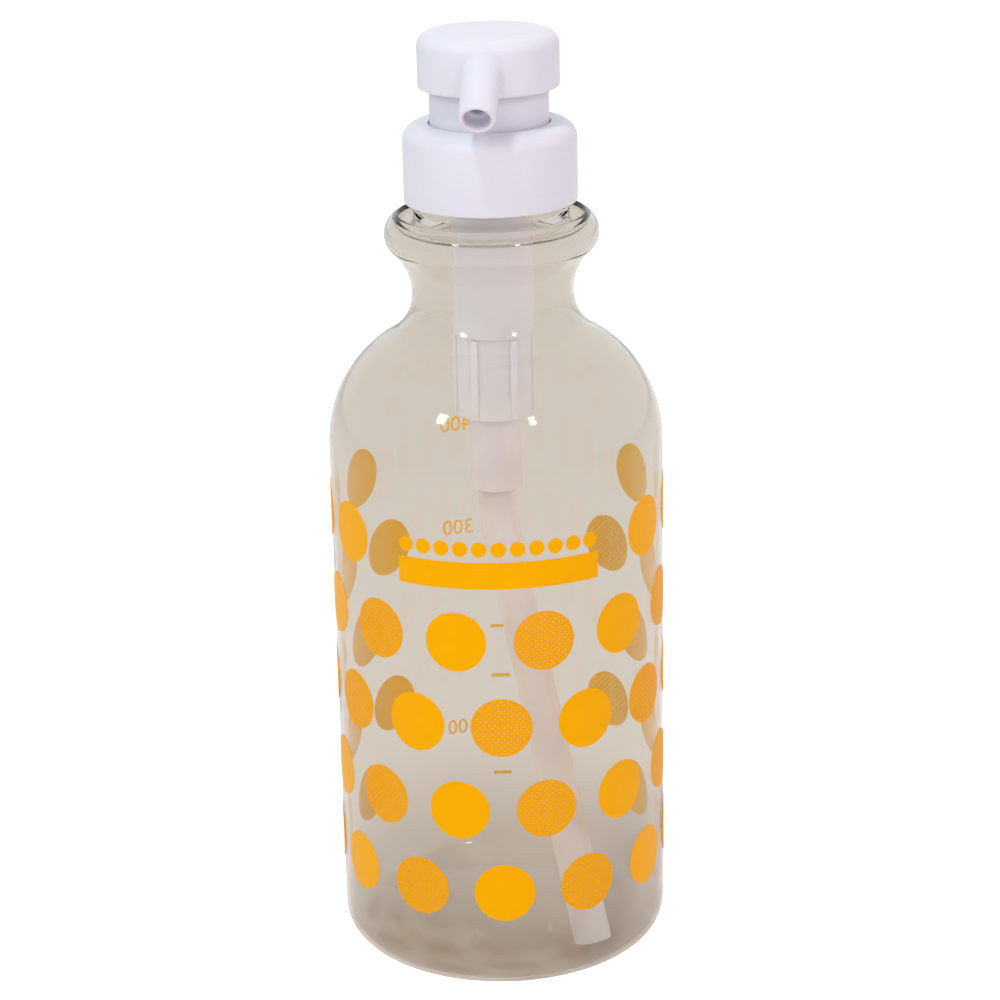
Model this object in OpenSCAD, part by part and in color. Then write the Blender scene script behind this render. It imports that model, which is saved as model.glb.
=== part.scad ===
// Round clear refill bottle with a screw-down lotion pump, printed with dots.
// Millimetres. Z is up, the origin is the centre of the base, the spout faces -Y.

/* [Bottle body] */
// Outside diameter of the straight wall
body_d = 74; // [70:0.5:78]
// Height at which the shoulder starts
wall_top = 118.6; // [112:0.2:126]
// Thickness of the blown wall
wall_t = 0.9; // [0.7:0.1:1.2]
// Radius of the rounded heel
heel_r = 7; // [5:0.5:9]
// Width of the flat ring that the bottle stands on
stand_w = 2; // [1.5:0.5:3]
// Rise of the pushed-up base
push_up = 3.5; // [2:0.5:5]
// Radius of the shoulder
shoulder_r = 27.8; // [26:0.2:29]

/* [Neck] */
// Outside radius of the neck at its narrowest
waist_r = 17.7; // [17.2:0.1:18.5]
// Radius of the hollow curve below the waist
waist_low_r = 11; // [9:0.5:12]
// Radius of the hollow curve above the waist
waist_high_r = 13; // [12:0.5:14]
// Radius from the axis to the middle of the bead
bead_at = 18.6; // [18.4:0.1:18.9]
// Radius of the round bead
bead_r = 4.85; // [4.6:0.05:5]
// Radius of the groove between the bead and the neck ring
groove_r = 1.6; // [1.4:0.1:1.8]
// Height of the groove's middle above the bead's middle
groove_rise = 3.3; // [3.1:0.1:3.6]
// Height of the neck ring
ring_h = 2.6; // [2:0.1:3.4]

/* [Threaded finish] */
// Outside radius of the finish under its thread
finish_r = 15.9; // [15.7:0.1:16.1]
// Radius of the mouth
mouth_r = 14.6; // [14.3:0.1:14.8]
// Height of the finish above the neck ring
finish_h = 12.9; // [12:0.1:14]

/* [Print] */
// Thickness of the ink
ink_t = 0.12; // [0.08:0.01:0.2]
// Diameter of a dot
dot_d = 13.5; // [10:0.5:15]
// Height of the lowest row of dots
dot_z = 24.6; // [22:0.2:28]
// Height from one row of dots to the next
dot_pitch = 19.7; // [18:0.1:20.5]
// Rows of dots
dot_rows = 5; // [4:1:5]
// Dots in a full turn
dot_columns = 12; // [11:1:12]
// Half angle of the print, which leaves the back free for the scale
print_half_angle = 138; // [120:1:140]
// Half angle of the label in the top row
label_half_angle = 35; // [20:1:38]
// Height of the label's band
band_h = 6; // [4:0.5:7]
// Diameter of a small dot above the band
small_dot_d = 3.4; // [2.6:0.2:3.8]
// Small dots above the band
small_dots = 11; // [7:1:11]
// Height of the lowest volume mark
mark_z = 20.9; // [18:0.1:24]
// Height from one volume mark to the next
mark_pitch = 12.8; // [10:0.1:13.2]
// Volume marks
marks = 8; // [4:1:8]
// Length of a volume mark
mark_w = 4.5; // [2:0.5:8]

/* [Closure] */
// Outside radius of the closure
closure_r = 18.9; // [18.6:0.1:19.6]
// Thickness of the closure's side
closure_side_t = 1.8; // [1.2:0.1:1.9]
// Thickness of the closure's top
closure_top_t = 1.55; // [1.2:0.05:2]
// Radius of the closure's top edge
closure_edge_r = 3.8; // [2.5:0.1:4]
// Gap between the closure and the neck ring
closure_lift = 1.2; // [0.8:0.1:2]

/* [Lock ring] */
// Outside radius of the collar that stands out of the closure
collar_r = 12.9; // [12.5:0.1:13.2]
// Height of the collar above its flange
collar_h = 10.65; // [10:0.05:12]
// Wall of the collar
collar_t = 1.5; // [1.2:0.1:1.7]
// Thickness of the flange that the closure clamps
ring_flange_t = 1.5; // [1.2:0.1:2]
// Radius of the well that takes the head's boss
well_r = 7.6; // [7.2:0.1:7.9]
// Length of the sleeve that centres the ring in the housing
sleeve_h = 8; // [6:0.5:10]
// Length of the tube that guides the stem
guide_h = 10; // [8:0.5:12]

/* [Housing] */
// Outside radius of the housing above its ribs
housing_r = 9; // [8.9:0.1:9.3]
// Radius of the bore that the piston slides in
bore_r = 7.4; // [7.2:0.1:7.6]
// Wall of the bore behind the ribs
bore_t = 0.9; // [0.8:0.1:1]
// Wall of the wide upper part
upper_t = 0.9; // [0.8:0.1:1]
// Length from the flange down to the ribs
upper_h = 42.4; // [40:0.2:44]
// Length of the ribbed part
ribbed_h = 18.5; // [17:0.5:20]
// Ribs round the housing
ribs = 6; // [4:1:10]
// Width of a rib
rib_w = 1.5; // [1:0.1:2.5]
// Thickness of the flange
flange_t = 1.2; // [1:0.1:1.6]
// Thickness of the gasket
gasket_t = 1; // [0.8:0.1:1.4]
// Outside radius of the socket for the dip tube
socket_r = 5.9; // [5.7:0.1:6.5]
// Length of the socket
socket_h = 17; // [14:0.5:18]

/* [Dip tube] */
// Outside radius of the dip tube
tube_r = 4.25; // [4:0.05:4.5]
// Wall of the dip tube
tube_t = 0.9; // [0.7:0.1:1.1]
// Depth of the dip tube in its socket
tube_in = 6; // [5:0.5:8]
// Angle at which the dip tube leans
tube_lean = 17; // [8:0.5:17]
// Direction of the lean, from the front towards the right
tube_turn = 42; // [0:1:90]
// Radius of the dip tube's bend
bend_r = 40; // [30:1:60]
// Gap under the end of the dip tube
tube_floor_gap = 3.2; // [2.4:0.2:8]

/* [Valves and plunger] */
// Radius of the inlet ball
inlet_ball_r = 3; // [2.8:0.1:3.1]
// Radius of the hole under the inlet ball
inlet_hole_r = 2.2; // [1.8:0.1:2.4]
// Radius of the outlet ball
outlet_ball_r = 2.3; // [2:0.1:2.5]
// Radius of the hole under the outlet ball
outlet_hole_r = 1.7; // [1.4:0.1:1.8]
// Wire of the spring
wire_d = 1; // [0.8:0.1:1.1]
// Mean radius of the spring
coil_r = 5.3; // [5.2:0.05:5.5]
// Turns of the spring
coil_turns = 6; // [5:0.5:7]
// Length of the spring when the pump is locked down
spring_h = 14.3; // [13:0.1:16]
// Outside radius of the stem
stem_r = 4.6; // [4.4:0.1:4.8]
// Wall of the stem
stem_t = 1.5; // [1.2:0.1:1.6]
// Length of the piston
piston_h = 7; // [6:0.5:8]

/* [Head] */
// Outside radius of the head
head_r = 15.3; // [14.8:0.1:16]
// Height of the head
head_h = 12; // [11:0.2:14]
// Thickness of the head's top and side
head_t = 1.8; // [1.4:0.1:2]
// Radius of the head's top edge
head_edge_r = 3; // [2:0.2:4]
// Height of the collar that the head covers when it is locked down
cover_h = 1.6; // [1:0.1:2.4]
// Outside radius of the boss that screws into the lock ring
boss_r = 7.2; // [6.8:0.1:7.4]
// Outside radius of the spout
spout_r = 3.8; // [3.4:0.1:4]
// Radius of the spout's channel
channel_r = 1.9; // [1.4:0.1:2]
// Radius of the spout's outlet
outlet_r = 2.9; // [2.2:0.1:3]
// Depth of the outlet before the channel narrows
outlet_depth = 3.5; // [1:0.5:5]
// Reach of the spout's outlet from the axis
spout_reach = 25; // [24:0.5:32]
// Angle of the spout below level
spout_drop = 33.5; // [30:0.5:38]
// Distance from the axis to the spout's bend
spout_bend = 10; // [9:0.2:11]
// Turn of the spout from the front towards the left
spout_turn = 6; // [0:1:60]

/* [Clearances] */
// Gap between seated faces
seat = 0.05; // [0.02:0.01:0.1]
// Gap between a sliding piece and its guide
run_fit = 0.06; // [0.03:0.01:0.1]
// Gap between pieces that turn past each other
turn_gap = 0.25; // [0.15:0.05:0.4]
// Gap under the locked head's boss
lock_gap = 0.3; // [0.2:0.05:0.6]

/* [Hidden] */

$fn = 96;
body_r = body_d / 2;

// Bottle: the curves of shoulder, waist and bead meet where they touch
waist_z = wall_top + sqrt(pow(shoulder_r + waist_low_r, 2)
                          - pow(waist_r + waist_low_r - body_r + shoulder_r, 2));
bead_z = waist_z + sqrt(pow(waist_high_r + bead_r, 2) - pow(waist_r + waist_high_r - bead_at, 2));
groove_z = bead_z + groove_rise;
neck_ring_r = bead_at - groove_r;
neck_ring_top = groove_z + ring_h;
lip_z = neck_ring_top + finish_h;
stand_r = body_r - heel_r;
dome_rim = stand_r - stand_w;
dome_r = (pow(dome_rim, 2) + pow(push_up, 2)) / (2 * push_up);

// Stack from the lip up: gasket, housing, lock ring, closure, head
gasket_z = lip_z + seat;
flange_z = gasket_z + gasket_t + seat;
housing_top = flange_z + flange_t;
ring_z = housing_top + seat;
ring_flange_top = ring_z + ring_flange_t;
closure_in_z = ring_flange_top + seat;
closure_top = closure_in_z + closure_top_t;
closure_z = neck_ring_top + closure_lift;
collar_top = ring_flange_top + collar_h;
head_z = collar_top - cover_h;
head_top = head_z + head_h;
head_ceiling = head_top - head_t;
clamp_r = closure_r - closure_side_t - 1.3;

// Lock ring: a well for the boss, a guide for the stem and a sleeve in the housing
well_t = 1.4;
well_floor_t = 1.5;
well_z = ring_z + well_floor_t + 0.5;
well_floor_z = well_z - well_floor_t;
guide_r = stem_r + run_fit;
guide_t = 1.4;
sleeve_r = housing_r - upper_t - run_fit;
sleeve_t = 1;

// Housing, downwards from its flange
ribs_top = flange_z - upper_h;
ribs_z = ribs_top - ribbed_h;
upper_bore_z = housing_top - guide_h - 3.5;
socket_z = ribs_z - socket_h;
seat_hole_z = ribs_z - 2;
pocket_z = ribs_z + 2.4;
shelf_z = pocket_z + 2.2;
pocket_r = inlet_ball_r + 0.6;

// Valves, spring and piston, upwards from the shelf
retainer_z = shelf_z + seat;
retainer_t = 0.9;
cage_r = coil_r - wire_d / 2 - 0.3;
cage_t = cage_r - inlet_ball_r - 0.3;
cage_h = 4.75;
bar_w = 1.4;
bar_h = 1;
inlet_ball_z = pocket_z + sqrt(pow(inlet_ball_r, 2) - pow(inlet_hole_r, 2)) + seat;
spring_z = retainer_z + retainer_t + seat;
foot_z = spring_z + spring_h + seat;
foot_t = 1.5;
foot_r = coil_r + wire_d / 2 + 0.4;
wire_sides = 8;
coil_steps = 18;
piston_z = foot_z + foot_t + seat;
piston_r = bore_r - run_fit;
hub_t = 1.3;
web_t = 1.4;
lip_t = 0.65;

// Head: the channel runs level from the boss and then down the spout
boss_z = well_z + lock_gap;
channel_z = head_ceiling - channel_r - 0.9;
stem_top = channel_z - channel_r - 0.5;
cavity_top = collar_top + 0.5;
spout_length = (spout_reach - spout_bend) / cos(spout_drop);
outlet_seat_depth = 4.5;
outlet_seat_z = stem_top - outlet_seat_depth;
outlet_seat_t = 1;
outlet_ball_z = outlet_seat_z + sqrt(pow(outlet_ball_r, 2) - pow(outlet_hole_r, 2)) + seat;

// Dip tube: an upright end in the socket, a bend, and a straight run to the floor
tube_top = socket_z + tube_in;
tube_end_z = tube_floor_gap + wall_t + tube_r * sin(tube_lean);
tube_run = (socket_z - bend_r * sin(tube_lean) - tube_end_z) / cos(tube_lean);
tube_sides = 32;
bend_steps = 6;

// Print
print_gap = 0.02;
band_drop = 4.4;
band_gap = 1.2;
print_r = body_r + print_gap;
band_z = dot_z + (dot_rows - 1) * dot_pitch - band_drop;
small_dots_z = band_z + band_h / 2 + band_gap + small_dot_d / 2;

clear_pet = [0.86, 0.87, 0.86, 0.35];
yellow_ink = [0.98, 0.68, 0.02];
thin_ink = [0.95, 0.73, 0.18];
white_pp = [0.93, 0.93, 0.95];
milky_pp = [0.88, 0.89, 0.91, 0.7];
soft_pe = [0.86, 0.88, 0.9];
steel = [0.72, 0.73, 0.75];

// Half section of a tube from z0 to z1
module wall_section(inner, outer, z0, z1) {
    translate([inner, z0])
        square([outer - inner, z1 - z0]);
}

// Solid half section of the bottle below the bead, with its surface moved inwards by inset
module body_section(inset) {
    translate([0, heel_r])
        square([body_r - inset, wall_top - heel_r]);
    translate([0, inset])
        square([stand_r, heel_r - inset]);
    translate([stand_r, heel_r])
        circle(heel_r - inset);
    translate([body_r - shoulder_r, wall_top])
        circle(shoulder_r - inset);
    difference() {
        polygon([[0, wall_top], [body_r - shoulder_r, wall_top],
                 [waist_r + waist_low_r, waist_z], [0, waist_z]]);
        translate([waist_r + waist_low_r, waist_z])
            circle(waist_low_r + inset);
    }
    difference() {
        polygon([[0, waist_z], [waist_r + waist_high_r, waist_z],
                 [bead_at, bead_z], [0, bead_z]]);
        translate([waist_r + waist_high_r, waist_z])
            circle(waist_high_r + inset);
    }
}

// Solid half section of the bead and its groove, with its surface moved inwards by inset
module bead_section(inset) {
    difference() {
        union() {
            translate([0, bead_z])
                square([bead_at, groove_rise]);
            translate([bead_at, bead_z])
                circle(bead_r - inset);
        }
        translate([bead_at, groove_z])
            circle(groove_r + inset);
        translate([neck_ring_r - inset, groove_z])
            square([2 * (groove_r + inset), bead_r]);
    }
}

// Keeps the half of a section that lies on the right of the axis
module right_half() {
    intersection() {
        children();
        square([2 * body_r, head_top]);
    }
}

module bottle() {
    mouth_flare = neck_ring_r - wall_t - mouth_r;
    color(clear_pet)
        rotate_extrude()
            difference() {
                right_half() {
                    body_section(0);
                    bead_section(0);
                    wall_section(0, neck_ring_r, groove_z, neck_ring_top);
                    wall_section(0, finish_r, neck_ring_top, lip_z);
                }
                difference() {
                    right_half() {
                        body_section(wall_t);
                        bead_section(wall_t);
                        wall_section(0, mouth_r, groove_z, lip_z + 1);
                        polygon([[0, groove_z], [mouth_r + mouth_flare, groove_z],
                                 [mouth_r, groove_z + mouth_flare], [0, groove_z + mouth_flare]]);
                    }
                    translate([0, push_up - dome_r])
                        circle(dome_r + wall_t);
                }
                translate([0, push_up - dome_r])
                    circle(dome_r);
            }
}

// Ink on the straight wall wherever a shape stands out from the axis
module ink() {
    intersection() {
        difference() {
            cylinder(r = print_r + ink_t, h = wall_top);
            translate([0, 0, -1])
                cylinder(r = print_r, h = wall_top + 2);
        }
        union()
            children();
    }
}

// A round stamp that points out of the wall, turned from the front towards the right
module stamp(angle, z, d) {
    rotate([0, 0, angle])
        translate([0, -body_r / 2, z])
            rotate([90, 0, 0])
                cylinder(d = d, h = body_r);
}

function column_angle(row, column) = 360 / dot_columns * (column + (row % 2) / 2);
function has_solid_dot(row, column) = row % 2 == 0 ? (column + row / 2) % 2 == 0 : column % 2 != 0;
function in_label(row, angle) = row == dot_rows - 1 && abs(angle) < label_half_angle + 15;

module dots(solid) {
    ink()
        for (row = [0 : dot_rows - 1], column = [-dot_columns / 2 : dot_columns / 2]) {
            angle = column_angle(row, column);
            if (abs(angle) <= print_half_angle && !in_label(row, angle) && has_solid_dot(row, column) == solid)
                stamp(angle, dot_z + row * dot_pitch, dot_d);
        }
}

module solid_dots() {
    color(yellow_ink)
        dots(true);
}

module hatched_dots() {
    color(thin_ink)
        dots(false);
}

module label_band() {
    color(yellow_ink)
        rotate([0, 0, -90 - label_half_angle])
            rotate_extrude(angle = 2 * label_half_angle)
                wall_section(print_r, print_r + ink_t, band_z - band_h / 2, band_z + band_h / 2);
}

module label_dots() {
    small_pitch = 2 * (label_half_angle - 3) / (small_dots - 1);
    color(yellow_ink)
        ink()
            for (i = [0 : small_dots - 1])
                stamp((i - (small_dots - 1) / 2) * small_pitch, small_dots_z, small_dot_d);
}

module volume_marks() {
    mark_h = 0.8;
    color(yellow_ink)
        ink()
            for (i = [0 : marks - 1])
                translate([-mark_w / 2, body_r / 2, mark_z + i * mark_pitch - mark_h / 2])
                    cube([mark_w, body_r, mark_h]);
}

module closure() {
    inner_r = closure_r - closure_side_t;
    inner_edge_r = 1.2;
    color(white_pp)
        rotate_extrude()
            difference() {
                union() {
                    wall_section(0, closure_r, closure_z, closure_top - closure_edge_r);
                    wall_section(0, closure_r - closure_edge_r, closure_z, closure_top);
                    translate([closure_r - closure_edge_r, closure_top - closure_edge_r])
                        circle(closure_edge_r);
                }
                wall_section(0, inner_r, closure_z - 1, closure_in_z - inner_edge_r);
                wall_section(0, inner_r - inner_edge_r, closure_z, closure_in_z);
                translate([inner_r - inner_edge_r, closure_in_z - inner_edge_r])
                    circle(inner_edge_r);
                wall_section(0, collar_r + turn_gap, closure_z, closure_top + 1);
            }
}

module lock_ring() {
    sleeve_z = well_floor_z - sleeve_h;
    guide_z = well_floor_z - guide_h;
    color(white_pp)
        rotate_extrude() {
            wall_section(collar_r - collar_t, clamp_r, ring_z, ring_flange_top);
            wall_section(collar_r - collar_t, collar_r, ring_z, collar_top);
            wall_section(well_r, collar_r, collar_top - collar_t, collar_top);
            wall_section(well_r, well_r + well_t, well_floor_z, collar_top);
            wall_section(guide_r, well_r + well_t, well_floor_z, well_z);
            wall_section(guide_r, guide_r + guide_t, guide_z, well_z);
            wall_section(sleeve_r - sleeve_t, sleeve_r, sleeve_z, well_z);
        }
}

module gasket() {
    color(soft_pe)
        rotate_extrude()
            wall_section(housing_r + turn_gap, clamp_r, gasket_z, gasket_z + gasket_t);
}

module housing() {
    color(milky_pp)
        difference() {
            union() {
                rotate_extrude() {
                    wall_section(0, clamp_r, flange_z, housing_top);
                    wall_section(0, housing_r, ribs_top, housing_top);
                    wall_section(0, bore_r + bore_t, ribs_z, ribs_top);
                    wall_section(0, socket_r, socket_z, ribs_z);
                }
                intersection() {
                    for (i = [0 : ribs - 1])
                        rotate([0, 0, i * 360 / ribs])
                            translate([0, -rib_w / 2, ribs_z])
                                cube([housing_r, rib_w, ribbed_h]);
                    cylinder(r = housing_r, h = lip_z);
                }
            }
            rotate_extrude() {
                wall_section(0, tube_r + seat, socket_z - 1, tube_top + seat);
                wall_section(0, inlet_hole_r, socket_z, pocket_z + 1);
                wall_section(0, pocket_r, pocket_z, shelf_z + 1);
                wall_section(0, bore_r, shelf_z, upper_bore_z);
                wall_section(0, housing_r - upper_t, upper_bore_z, housing_top + 1);
            }
        }
}

// A skin over rings of points, closed into a loop or capped at its ends
module skin(rings, looped) {
    sides = len(rings[0]);
    last = len(rings) - 1;
    points = [for (ring = rings, point = ring) point];
    bands = [for (i = [0 : looped ? last : last - 1], j = [0 : sides - 1])
        let (n = (i + 1) % len(rings), k = (j + 1) % sides)
            [i * sides + j, n * sides + j, n * sides + k, i * sides + k]];
    first_cap = [for (j = [0 : sides - 1]) j];
    last_cap = [for (j = [sides - 1 : -1 : 0]) last * sides + j];
    polyhedron(points, looped ? bands : concat(bands, [first_cap, last_cap]), convexity = 10);
}

// Ring of the dip tube: its middle lies in the XZ plane and it is tilted by the angle of the bend
function tube_ring(x, z, tilt, r) = [for (j = [0 : tube_sides - 1])
    let (side = 360 * j / tube_sides)
        [x + r * cos(side) * cos(tilt), r * sin(side), z + r * cos(side) * sin(tilt)]];

function bend_ring(tilt, r) =
    tube_ring(bend_r * (1 - cos(tilt)), socket_z - bend_r * sin(tilt), tilt, r);

// Rings from the end in the socket, round the bend and down to the end at the floor
function tube_rings(r) = concat(
    [tube_ring(0, tube_top, 0, r)],
    [for (i = [0 : bend_steps]) bend_ring(tube_lean * i / bend_steps, r)],
    [tube_ring(bend_r * (1 - cos(tube_lean)) + tube_run * sin(tube_lean),
               socket_z - bend_r * sin(tube_lean) - tube_run * cos(tube_lean), tube_lean, r)]);

module dip_tube() {
    outside = tube_rings(tube_r);
    inside = tube_rings(tube_r - tube_t);
    color(milky_pp)
        rotate([0, 0, tube_turn - 90])
            skin(concat(outside, [for (i = [len(inside) - 1 : -1 : 0]) inside[i]]), true);
}

module inlet_ball() {
    color(steel)
        translate([0, 0, inlet_ball_z])
            sphere(inlet_ball_r);
}

module ball_retainer() {
    color(soft_pe) {
        rotate_extrude() {
            wall_section(cage_r - cage_t, bore_r - run_fit, retainer_z, retainer_z + retainer_t);
            wall_section(cage_r - cage_t, cage_r, retainer_z, retainer_z + cage_h);
        }
        for (angle = [0, 90])
            rotate([0, 0, angle])
                translate([-cage_r + cage_t / 2, -bar_w / 2, retainer_z + cage_h - bar_h])
                    cube([2 * cage_r - cage_t, bar_w, bar_h]);
    }
}

// Ring of the wire, round the coil by a turn given in degrees
function wire_ring(turn) = [for (j = [0 : wire_sides - 1])
    let (side = 360 * j / wire_sides, r = coil_r + wire_d / 2 * cos(side))
        [r * cos(turn), r * sin(turn),
         spring_z + wire_d / 2 * (1 + sin(side)) + (spring_h - wire_d) * turn / (360 * coil_turns)]];

module spring() {
    color(steel)
        skin([for (i = [0 : coil_steps * coil_turns]) wire_ring(360 * i / coil_steps)], false);
}

module piston() {
    hub_r = stem_r + run_fit + hub_t;
    web_z = piston_z + (piston_h - web_t) / 2;
    color(soft_pe)
        rotate_extrude() {
            wall_section(stem_r + run_fit, hub_r, piston_z, piston_z + piston_h);
            wall_section(stem_r + run_fit, piston_r, web_z, web_z + web_t);
            wall_section(piston_r - lip_t, piston_r, piston_z + 0.5, piston_z + piston_h - 0.5);
        }
}

module stem() {
    inner_r = stem_r - stem_t;
    color(white_pp)
        rotate_extrude() {
            wall_section(inlet_hole_r, foot_r, foot_z, foot_z + foot_t);
            wall_section(inner_r, stem_r, foot_z, stem_top);
            wall_section(outlet_hole_r, stem_r, outlet_seat_z - outlet_seat_t, outlet_seat_z);
        }
}

module outlet_ball() {
    color(steel)
        translate([0, 0, outlet_ball_z])
            sphere(outlet_ball_r);
}

// A level run from the axis and a run down to the outlet, round the same bend
module spout_run(r, extra) {
    rotate([90, 0, 0])
        translate([0, channel_z, 0])
            cylinder(r = r, h = spout_bend);
    translate([0, -spout_bend, channel_z]) {
        sphere(r);
        rotate([90 + spout_drop, 0, 0])
            cylinder(r = r, h = spout_length + extra);
    }
}

// The wider end of the channel
module spout_outlet() {
    translate([0, -spout_bend, channel_z])
        rotate([90 + spout_drop, 0, 0])
            translate([0, 0, spout_length - outlet_depth])
                cylinder(r = outlet_r, h = outlet_depth + 1);
}

module head() {
    color(white_pp)
        rotate([0, 0, -spout_turn])
            difference() {
                union() {
                    rotate_extrude()
                        difference() {
                            union() {
                                wall_section(0, head_r, head_z, head_top - head_edge_r);
                                wall_section(0, head_r - head_edge_r, head_z, head_top);
                                translate([head_r - head_edge_r, head_top - head_edge_r])
                                    circle(head_edge_r);
                            }
                            wall_section(0, head_r - head_t, head_z - 1, head_ceiling - 1);
                            wall_section(0, head_r - head_t - 1, head_z, head_ceiling);
                            translate([head_r - head_t - 1, head_ceiling - 1])
                                circle(1);
                        }
                    intersection() {
                        difference() {
                            spout_run(spout_r, 0);
                            translate([0, 0, boss_z])
                                cylinder(r = head_r - head_t, h = cavity_top - boss_z);
                        }
                        cylinder(r = 2 * head_r + spout_reach, h = head_top - head_t / 2);
                    }
                    translate([0, 0, boss_z])
                        cylinder(r = boss_r, h = head_ceiling - boss_z);
                }
                translate([0, 0, boss_z - 1])
                    cylinder(r = stem_r + seat, h = stem_top + seat - boss_z + 1);
                translate([0, 0, boss_z])
                    cylinder(r = stem_r - stem_t, h = channel_z - boss_z);
                spout_run(channel_r, 1);
                spout_outlet();
            }
}

bottle();
solid_dots();
hatched_dots();
label_band();
label_dots();
volume_marks();
closure();
lock_ring();
gasket();
housing();
dip_tube();
inlet_ball();
ball_retainer();
spring();
piston();
stem();
outlet_ball();
head();
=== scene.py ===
from math import asin, atan2, cos, degrees, pi, radians, sin, sqrt

import bmesh
import bpy
from bmesh.types import BMEdge, BMFace, BMVert
from mathutils import Matrix, Vector


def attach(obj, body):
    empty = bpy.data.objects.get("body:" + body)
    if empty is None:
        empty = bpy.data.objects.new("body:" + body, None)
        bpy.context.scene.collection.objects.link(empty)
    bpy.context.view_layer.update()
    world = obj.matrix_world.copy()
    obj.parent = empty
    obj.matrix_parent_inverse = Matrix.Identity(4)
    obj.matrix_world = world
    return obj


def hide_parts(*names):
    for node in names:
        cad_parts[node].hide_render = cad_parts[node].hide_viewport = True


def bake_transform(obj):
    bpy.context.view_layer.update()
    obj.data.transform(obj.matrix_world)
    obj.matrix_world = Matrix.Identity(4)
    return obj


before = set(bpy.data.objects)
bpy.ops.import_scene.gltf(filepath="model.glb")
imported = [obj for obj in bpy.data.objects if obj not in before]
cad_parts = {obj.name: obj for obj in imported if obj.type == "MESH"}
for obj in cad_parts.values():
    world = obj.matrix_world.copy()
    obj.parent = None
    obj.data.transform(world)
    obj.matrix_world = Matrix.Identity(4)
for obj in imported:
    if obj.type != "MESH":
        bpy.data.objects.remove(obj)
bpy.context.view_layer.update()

# Clear refill bottle printed with dots, with a white screw-down lotion pump.
# Pieces are drawn in millimetres, with Z up and the spout towards -Y.
# finishPiece takes them to metres.
print("frame loaded:", len(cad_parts), "nodes")


# Shared helpers

def linearColour(hexCode):
    channels = [int(hexCode[i:i + 2], 16) / 255 for i in (1, 3, 5)]
    return tuple(c / 12.92 if c <= 0.04045 else ((c + 0.055) / 1.055) ** 2.4 for c in channels) + (1,)


def addNode(tree, kind, settings=None, links=None):
    node = tree.nodes.new(kind)
    for name, value in (settings or {}).items():
        if isinstance(name, int) or name in node.inputs:
            node.inputs[name].default_value = value
        else:
            setattr(node, name, value)
    for name, socket in (links or {}).items():
        tree.links.new(socket, node.inputs[name])
    return node


def addObject(name, data):
    made = bpy.data.objects.new(name, data)
    bpy.context.scene.collection.objects.link(made)
    return made


def meshObject(bm, name):
    mesh = bpy.data.meshes.new(name)
    bm.to_mesh(mesh)
    bm.free()
    return addObject(name, mesh)


def ofKind(made, kind):
    # the vertices, edges or faces among what an operator made
    return [item for item in made if isinstance(item, kind)]


def startMaterial(name):
    material = bpy.data.materials.new(name)
    material.use_nodes = True
    material.node_tree.nodes.clear()
    return material, material.node_tree


def tracePath(start, moves):
    # a pen in the RZ plane: ("to", r, z) draws a line, ("arc", r, z, angle) turns about a centre
    bm = bmesh.new()
    tip = bm.verts.new((start[0], 0, start[1]))
    for move in moves:
        if move[0] == "to":
            tip = bmesh.ops.extrude_vert_indiv(bm, verts=[tip])["verts"][0]
            tip.co = (move[1], 0, move[2])
        else:
            steps = max(2, round(abs(move[3]) / 5))
            turned = bmesh.ops.spin(bm, geom=[tip], cent=(move[1], 0, move[2]), axis=(0, -1, 0),
                                    dvec=(0, 0, 0), angle=radians(move[3]), steps=steps,
                                    use_merge=False, use_duplicate=False)
            tip = ofKind(turned["geom_last"], BMVert)[0]
    return bm


def roundCorners(bm, radius, spots):
    # rounds the drawn corners that lie at these places
    corners = [v for v in bm.verts
               if any((v.co - Vector((r, 0, z))).length < 0.01 for r, z in spots)]
    bmesh.ops.bevel(bm, geom=corners, offset=radius, offset_type="OFFSET", affect="VERTICES",
                    segments=4, profile=0.5, material=-1, clamp_overlap=True)


def spinRound(bm, steps=144):
    bmesh.ops.spin(bm, geom=bm.verts[:] + bm.edges[:], cent=(0, 0, 0), axis=(0, 0, 1),
                   dvec=(0, 0, 0), angle=2 * pi, steps=steps, use_merge=True, use_duplicate=False)
    bmesh.ops.remove_doubles(bm, verts=bm.verts[:], dist=0.0005)
    bmesh.ops.recalc_face_normals(bm, faces=bm.faces[:])


def finishPiece(bm, name, body, material, replaced=(), crease=32):
    # millimetres to metres, smooth shading with sharp edges past the crease angle
    bmesh.ops.scale(bm, vec=(0.001, 0.001, 0.001), verts=bm.verts[:])
    piece = meshObject(bm, name)
    piece.data.shade_smooth()
    piece.data.set_sharp_from_angle(angle=radians(crease))
    piece.data.materials.append(material)
    if body:
        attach(piece, body)
    if replaced:
        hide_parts(*replaced)
    return piece


def addThread(bm, r, z, s, stepsPerTurn=72):
    # its small section, drawn from the wall at r, is turned about the axis and rises, ends closed
    verts = [bm.verts.new((r + out, 0, up + z)) for out, up in s["threadShape"]]
    face = bm.faces.new(verts)
    bmesh.ops.spin(bm, geom=[face] + list(face.edges) + verts, cent=(0, 0, 0), axis=(0, 0, 1),
                   dvec=(0, 0, s["threadPitch"] / stepsPerTurn), angle=2 * pi * s["threadTurns"],
                   steps=round(s["threadTurns"] * stepsPerTurn), use_merge=False, use_duplicate=False)


# Materials

def cloudTint(tree, noise, hexCode, deepCode):
    # a colour that drifts to a slightly deeper one in soft clouds; a Mix node's colours are 6 and 7
    place = addNode(tree, "ShaderNodeTexCoord")
    cloud = addNode(tree, "ShaderNodeTexNoise", noise, {"Vector": place.outputs["Object"]})
    tint = addNode(tree, "ShaderNodeMix", {"data_type": "RGBA", 6: linearColour(hexCode),
                                           7: linearColour(deepCode)}, {"Factor": cloud.outputs["Fac"]})
    return place, cloud, tint


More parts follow.
